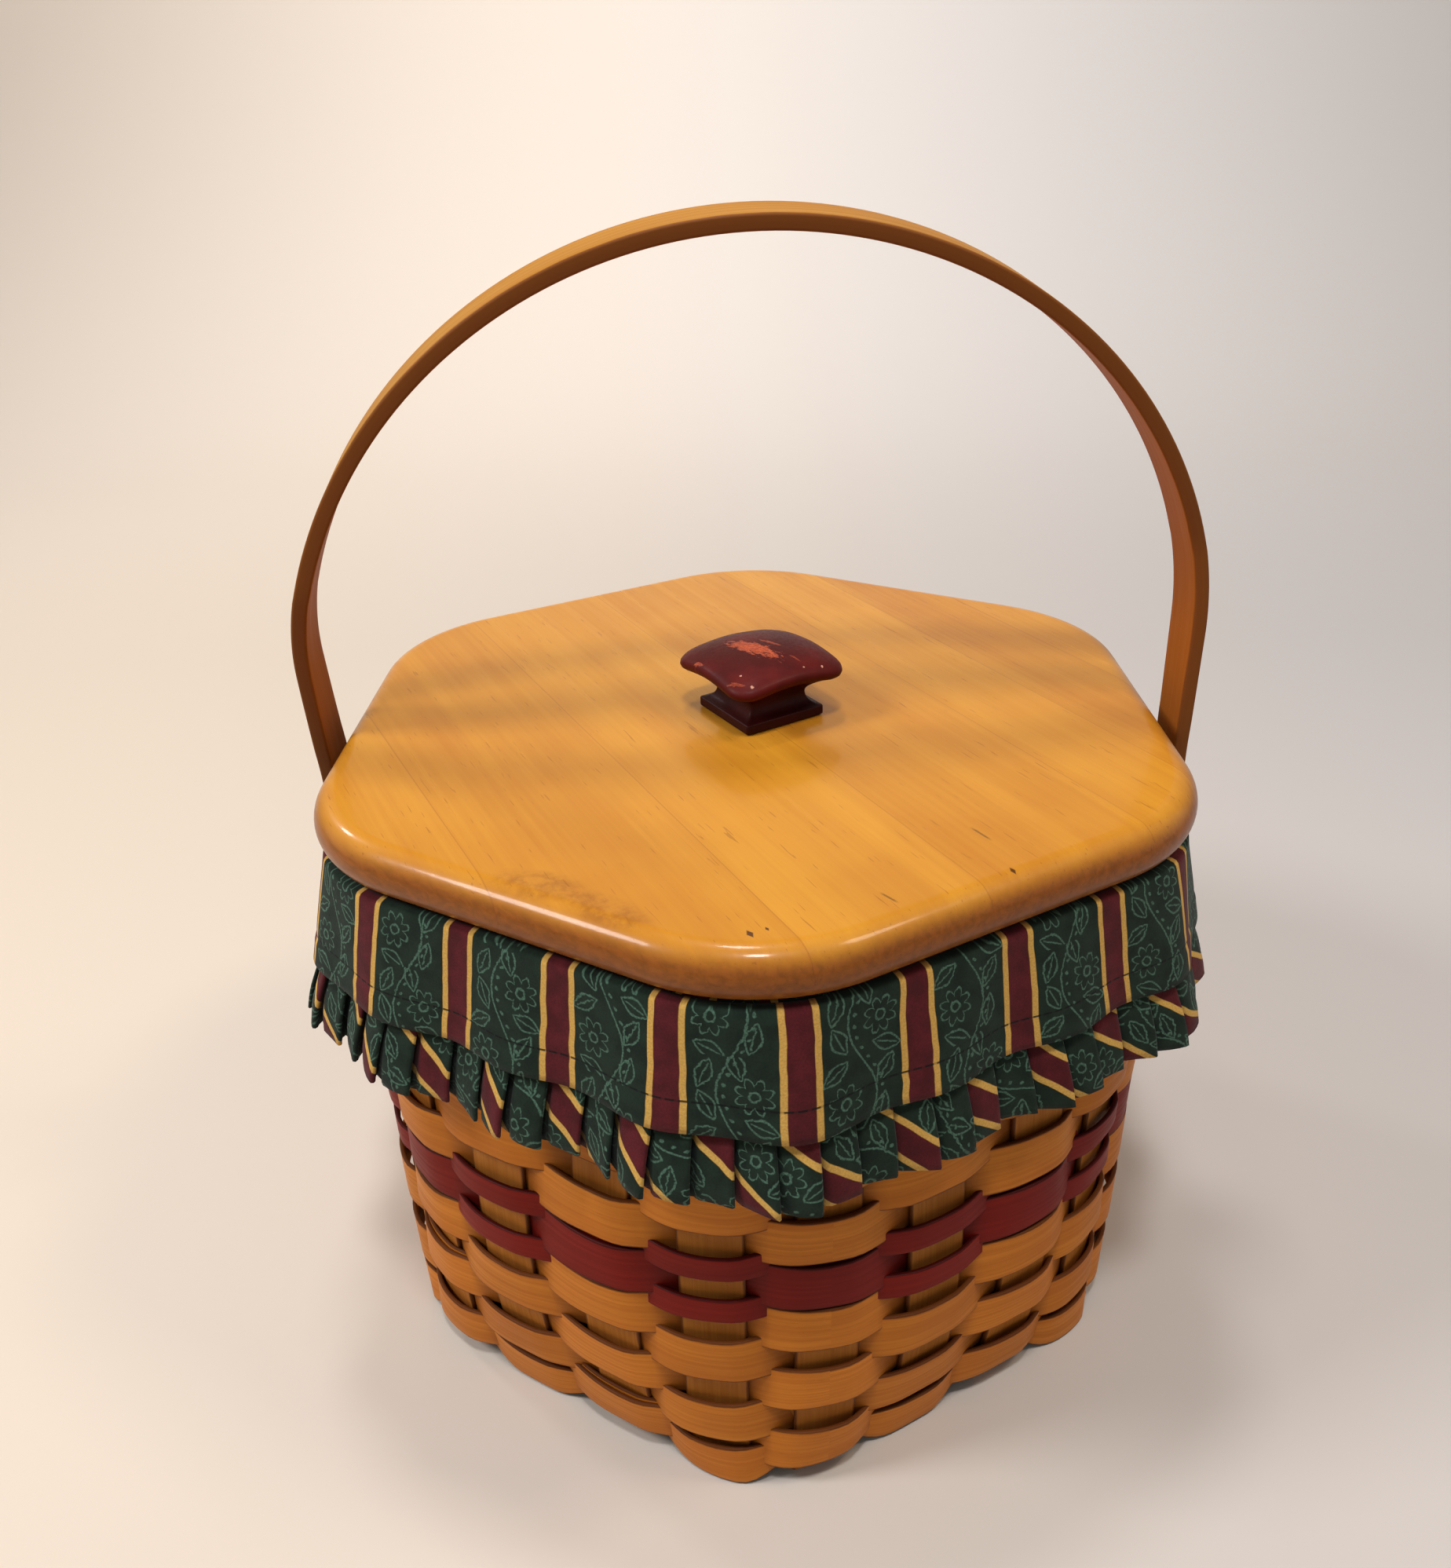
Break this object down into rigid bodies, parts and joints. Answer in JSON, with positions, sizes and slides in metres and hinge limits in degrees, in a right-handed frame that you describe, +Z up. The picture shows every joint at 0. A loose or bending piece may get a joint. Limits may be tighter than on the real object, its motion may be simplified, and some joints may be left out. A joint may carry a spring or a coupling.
{
  "type": "hexagonal basket",
  "caption": "Six-sided woven splint basket with a fixed arch handle, a lift-off wooden lid with a square knob, and a cloth liner with a pleated ruffle.",
  "frame": {"origin": "on the surface the basket stands on, under the middle of the basket", "axes": "+Z up; two corners of the hexagon point along -Y (front) and +Y, and the handle's legs stand at -X and +X"},
  "size_m": [0.2373, 0.2558, 0.2955],
  "materials": {
    "splint": "stained and lacquered splint, satin",
    "weaver_natural": "stained and lacquered splint, satin",
    "weaver_red": "dyed dark red splint, satin",
    "rim_band": "stained and lacquered, satin",
    "handle_wood": "stained and lacquered bent wood, satin",
    "lid_wood": "honey lacquer, semi-gloss",
    "knob_paint": "dark red paint, worn at the edges",
    "cloth": "printed cotton, matt",
    "screw_steel": "plain steel"
  },
  "bodies": {
    "basket": {"splint_right_1": "splint", "splint_right_2": "splint", "splint_right_3": "splint", "splint_right_4": "splint", "splint_cross_1": "splint", "splint_cross_2": "splint", "splint_cross_3": "splint", "splint_cross_4": "splint", "splint_left_1": "splint", "splint_left_2": "splint", "splint_left_3": "splint", "splint_left_4": "splint", "weaver_01": "weaver_natural", "weaver_02": "weaver_natural", "weaver_03": "weaver_natural", "weaver_04": "weaver_natural", "weaver_05": "weaver_natural", "weaver_06": "weaver_natural", "weaver_07_red_narrow": "weaver_red", "weaver_08_red_wide": "weaver_red", "weaver_09_red_narrow": "weaver_red", "weaver_10": "weaver_natural", "weaver_11": "weaver_natural", "weaver_12": "weaver_natural", "weaver_13": "weaver_natural", "weaver_14": "weaver_natural", "rim_band_inner": "rim_band", "rim_band_outer": "rim_band", "handle": "handle_wood", "liner_bag": "cloth", "skirt_band_front": "cloth", "skirt_band_back": "cloth", "ruffle_front": "cloth", "ruffle_back": "cloth"},
    "lid": {"lid_panel": "lid_wood", "lid_cleat_left": "lid_wood", "lid_cleat_right": "lid_wood", "knob": "knob_paint", "knob_screw": "screw_steel"}
  },
  "joints": [
    {"name": "lid_lift", "type": "slide", "parent": "basket", "child": "lid", "axis": [0, 0, 1], "range_m": [0, 0.036]}
  ]
}
